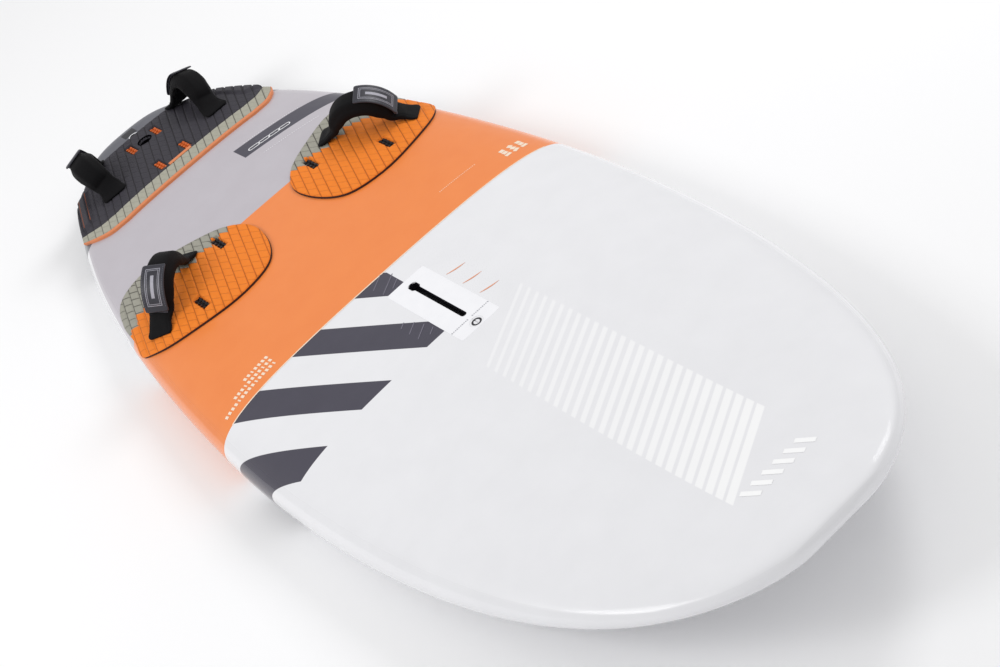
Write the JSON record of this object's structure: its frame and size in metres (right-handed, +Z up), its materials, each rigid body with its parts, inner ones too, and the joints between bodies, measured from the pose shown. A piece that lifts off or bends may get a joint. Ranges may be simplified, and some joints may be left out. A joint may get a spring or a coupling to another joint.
{
  "type": "windsurf board",
  "caption": "Wide rounded windsurf board with a keyhole mast track, two-bolt fin box, air vent, grooved deck pads and padded footstraps.",
  "frame": {"origin": "on the planing flat, below the middle of the board's length", "axes": "+X forward to the nose along the centreline, +Y to port, +Z up"},
  "size_m": [2.36, 0.8578, 0.2129],
  "materials": {
    "eps_foam": "closed-bead expanded polystyrene, inside the skins",
    "dense_foam": "machined PVC foam, inside the skins",
    "deck_laminate": "glass and epoxy sandwich, painted, satin with anti-slip grit",
    "bottom_laminate": "glass and epoxy sandwich, painted gloss white",
    "track_plastic": "glass-filled plastic, gloss painted round the slot",
    "box_plastic": "glass-filled plastic, moulded",
    "vent_plastic": "acetal, turned",
    "membrane": "breathable film",
    "seal_rubber": "nitrile, moulded",
    "insert_black": "moulded nylon",
    "insert_orange": "moulded nylon",
    "pad_orange": "EVA foam, grooved",
    "pad_grey": "EVA foam, grooved",
    "pad_black": "EVA foam, grooved",
    "strap_neoprene": "neoprene padding in a knitted cover",
    "strap_flap": "coated fabric with a welded outline",
    "strap_webbing": "woven polyester",
    "hook_patch": "hook tape",
    "washer_plastic": "moulded nylon",
    "stainless": "stainless steel, pan head"
  },
  "bodies": {
    "board": {"foam_core": "eps_foam", "mast_track_block": "dense_foam", "fin_box_block": "dense_foam", "deck_skin": "deck_laminate", "bottom_skin": "bottom_laminate", "mast_track_box": "track_plastic", "fin_box": "box_plastic", "vent_housing": "vent_plastic", "vent_membrane": "membrane", "spare_front_inserts": "insert_black", "spare_rear_inserts": "insert_orange", "front_strap_inserts": "insert_black", "rear_strap_inserts": "insert_black", "front_pad_port": "pad_orange", "front_pad_heel_port": "pad_grey", "front_pad_starboard": "pad_orange", "front_pad_heel_starboard": "pad_grey", "rear_pad": "pad_black", "rear_pad_band": "pad_grey", "rear_pad_trim": "pad_orange", "rear_pad_kicks": "pad_black", "strap_washers": "washer_plastic", "strap_screws": "stainless", "front_port_strap_tabs": "strap_neoprene", "rear_port_strap_tabs": "strap_neoprene", "front_starboard_strap_tabs": "strap_neoprene", "rear_starboard_strap_tabs": "strap_neoprene"},
    "front_port_strap": {"front_port_strap_webbing": "strap_webbing", "front_port_strap_cover": "strap_neoprene", "front_port_strap_patch": "hook_patch"},
    "front_port_flap": {"front_port_strap_flap": "strap_flap"},
    "rear_port_strap": {"rear_port_strap_webbing": "strap_webbing", "rear_port_strap_cover": "strap_neoprene", "rear_port_strap_patch": "hook_patch"},
    "rear_port_flap": {"rear_port_strap_flap": "strap_flap"},
    "front_starboard_strap": {"front_starboard_strap_webbing": "strap_webbing", "front_starboard_strap_cover": "strap_neoprene", "front_starboard_strap_patch": "hook_patch"},
    "front_starboard_flap": {"front_starboard_strap_flap": "strap_flap"},
    "rear_starboard_strap": {"rear_starboard_strap_webbing": "strap_webbing", "rear_starboard_strap_cover": "strap_neoprene", "rear_starboard_strap_patch": "hook_patch"},
    "rear_starboard_flap": {"rear_starboard_strap_flap": "strap_flap"},
    "vent_plug": {"vent_screw": "vent_plastic", "vent_seal": "seal_rubber"}
  },
  "joints": [
    {"name": "front_port_strap_lean", "type": "hinge", "parent": "board", "child": "front_port_strap", "pos_m": [-0.42401, 0.2527, 0.12813], "axis": [0.6654, 0.7439, -0.062], "range_deg": [-33, 17], "stiffness_Nm_per_rad": 2},
    {"name": "front_port_flap_lift", "type": "hinge", "parent": "front_port_strap", "child": "front_port_flap", "pos_m": [-0.40838, 0.25364, 0.20604], "axis": [0.7324, -0.6666, -0.1389], "range_deg": [0, 70]},
    {"name": "rear_port_strap_lean", "type": "hinge", "parent": "board", "child": "rear_port_strap", "pos_m": [-0.99735, 0.12816, 0.09656], "axis": [-0.9848, -0.1502, -0.0867], "range_deg": [-45, 5], "stiffness_Nm_per_rad": 2},
    {"name": "rear_port_flap_lift", "type": "hinge", "parent": "rear_port_strap", "child": "rear_port_flap", "pos_m": [-1.01274, 0.15253, 0.1684], "axis": [-0.1124, 0.9334, -0.3407], "range_deg": [0, 70]},
    {"name": "front_starboard_strap_lean", "type": "hinge", "parent": "board", "child": "front_starboard_strap", "pos_m": [-0.42401, -0.2527, 0.12813], "axis": [0.6654, -0.7439, -0.062], "range_deg": [-17, 33], "stiffness_Nm_per_rad": 2},
    {"name": "front_starboard_flap_lift", "type": "hinge", "parent": "front_starboard_strap", "child": "front_starboard_flap", "pos_m": [-0.40838, -0.25364, 0.20604], "axis": [-0.7324, -0.6666, 0.1389], "range_deg": [0, 70]},
    {"name": "rear_starboard_strap_lean", "type": "hinge", "parent": "board", "child": "rear_starboard_strap", "pos_m": [-0.99735, -0.12816, 0.09656], "axis": [-0.9848, 0.1502, -0.0867], "range_deg": [-5, 45], "stiffness_Nm_per_rad": 2},
    {"name": "rear_starboard_flap_lift", "type": "hinge", "parent": "rear_starboard_strap", "child": "rear_starboard_flap", "pos_m": [-1.01274, -0.15253, 0.1684], "axis": [0.1124, 0.9334, 0.3407], "range_deg": [0, 70]},
    {"name": "vent_plug_turn", "type": "hinge", "parent": "board", "child": "vent_plug", "pos_m": [0.293, 0, 0.13], "axis": [0, 0, 1], "range_deg": [0, 720]}
  ]
}
